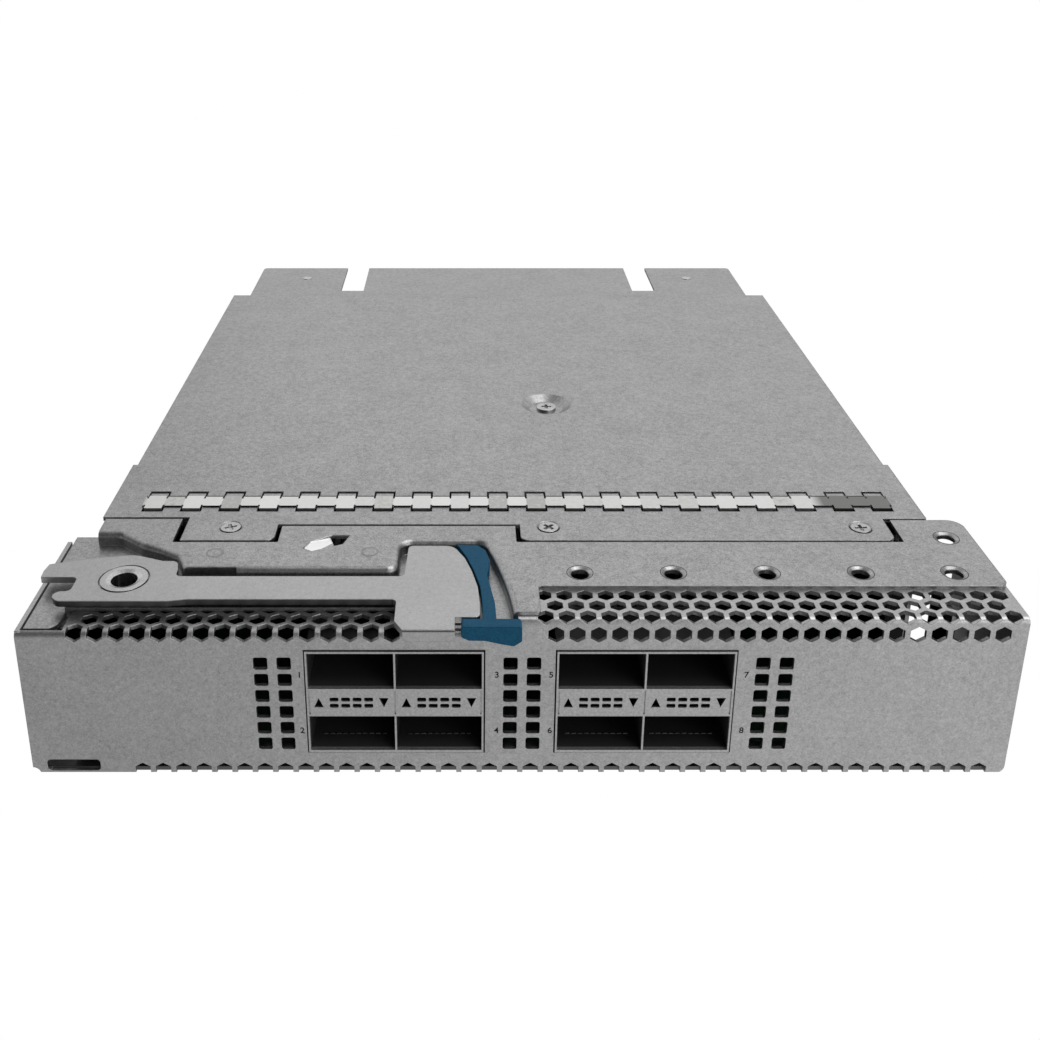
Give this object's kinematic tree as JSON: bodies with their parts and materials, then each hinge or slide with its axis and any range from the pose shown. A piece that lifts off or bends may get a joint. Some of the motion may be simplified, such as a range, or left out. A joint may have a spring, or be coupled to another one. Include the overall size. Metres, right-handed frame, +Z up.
{
  "type": "switch expansion module",
  "caption": "Flat plug-in port module in folded zinc-plated steel, with a perforated bezel, paired pluggable port cages and a swinging ejector lever with a blue latch.",
  "frame": {"origin": "middle of the bounding box's base", "axes": "+X to the right along the faceplate seen from the front, +Y back from the faceplate to the rear tongue, +Z up"},
  "size_m": [0.214, 0.2478, 0.041],
  "materials": {
    "zinc_steel": "zinc-plated sheet steel with a fine mottled satin grain",
    "zinc_steel_face": "zinc-plated sheet steel, satin, folded and perforated",
    "lever_steel": "tumbled plated steel, smoother than the sheet",
    "spring_steel": "thin bright spring strip",
    "rivet_steel": "plain plated steel",
    "screw_steel": "bright plated screw steel",
    "cage_steel": "thin stamped sheet, satin",
    "blue_plastic": "moulded plastic in blue, lightly textured",
    "black_plastic": "moulded black connector plastic",
    "clear_plastic": "frosted light guide plastic",
    "board_laminate": "green solder mask over laminate",
    "chip_resin": "black moulding resin",
    "capacitor_can": "bare aluminium can",
    "sink_aluminium": "extruded aluminium, bare"
  },
  "bodies": {
    "chassis": {"front_bezel": "zinc_steel_face", "base_tray": "zinc_steel", "bezel_rivets": "rivet_steel", "deck_plate": "zinc_steel", "seam_beam": "zinc_steel", "cover_screws": "screw_steel", "top_cover": "zinc_steel", "side_screws": "screw_steel", "centre_pillar": "rivet_steel", "centre_screw": "screw_steel", "contact_strip": "spring_steel", "rear_tongue": "zinc_steel", "tongue_rivets": "rivet_steel", "guide_shelf": "zinc_steel", "shelf_screws": "screw_steel", "circuit_board": "board_laminate", "standoffs": "rivet_steel", "board_screws": "screw_steel", "retimer_heat_sink": "sink_aluminium", "pivot_rivet": "rivet_steel", "pivot_washer": "rivet_steel", "port_cage_left": "cage_steel", "cage_heat_sink_left": "sink_aluminium", "guide_socket_left": "black_plastic", "port_cage_right": "cage_steel", "cage_heat_sink_right": "sink_aluminium", "guide_socket_right": "black_plastic", "port_connector_1": "black_plastic", "light_pipe_1": "clear_plastic", "retimer_chip_1": "chip_resin", "capacitor_1": "capacitor_can", "port_connector_2": "black_plastic", "light_pipe_2": "clear_plastic", "retimer_chip_2": "chip_resin", "capacitor_2": "capacitor_can", "port_connector_3": "black_plastic", "light_pipe_3": "clear_plastic", "retimer_chip_3": "chip_resin", "capacitor_3": "capacitor_can", "port_connector_4": "black_plastic", "light_pipe_4": "clear_plastic", "retimer_chip_4": "chip_resin", "capacitor_4": "capacitor_can", "power_module_1": "chip_resin", "power_module_2": "chip_resin", "backplane_connector_1": "black_plastic", "backplane_connector_2": "black_plastic", "backplane_connector_3": "black_plastic", "backplane_connector_4": "black_plastic", "backplane_connector_5": "black_plastic"},
    "lever": {"ejector_lever": "lever_steel", "latch_pin": "rivet_steel"},
    "latch": {"lever_latch": "blue_plastic"}
  },
  "joints": [
    {"name": "lever_swing", "type": "hinge", "parent": "chassis", "child": "lever", "pos_m": [-0.08735, -0.10445, 0.03905], "axis": [0, 0, 1], "range_deg": [-45, 0]},
    {"name": "latch_squeeze", "type": "hinge", "parent": "lever", "child": "latch", "pos_m": [-0.016, -0.09525, 0.03855], "axis": [0, 0, 1], "range_deg": [-1, 0], "stiffness_Nm_per_rad": 0.05}
  ]
}
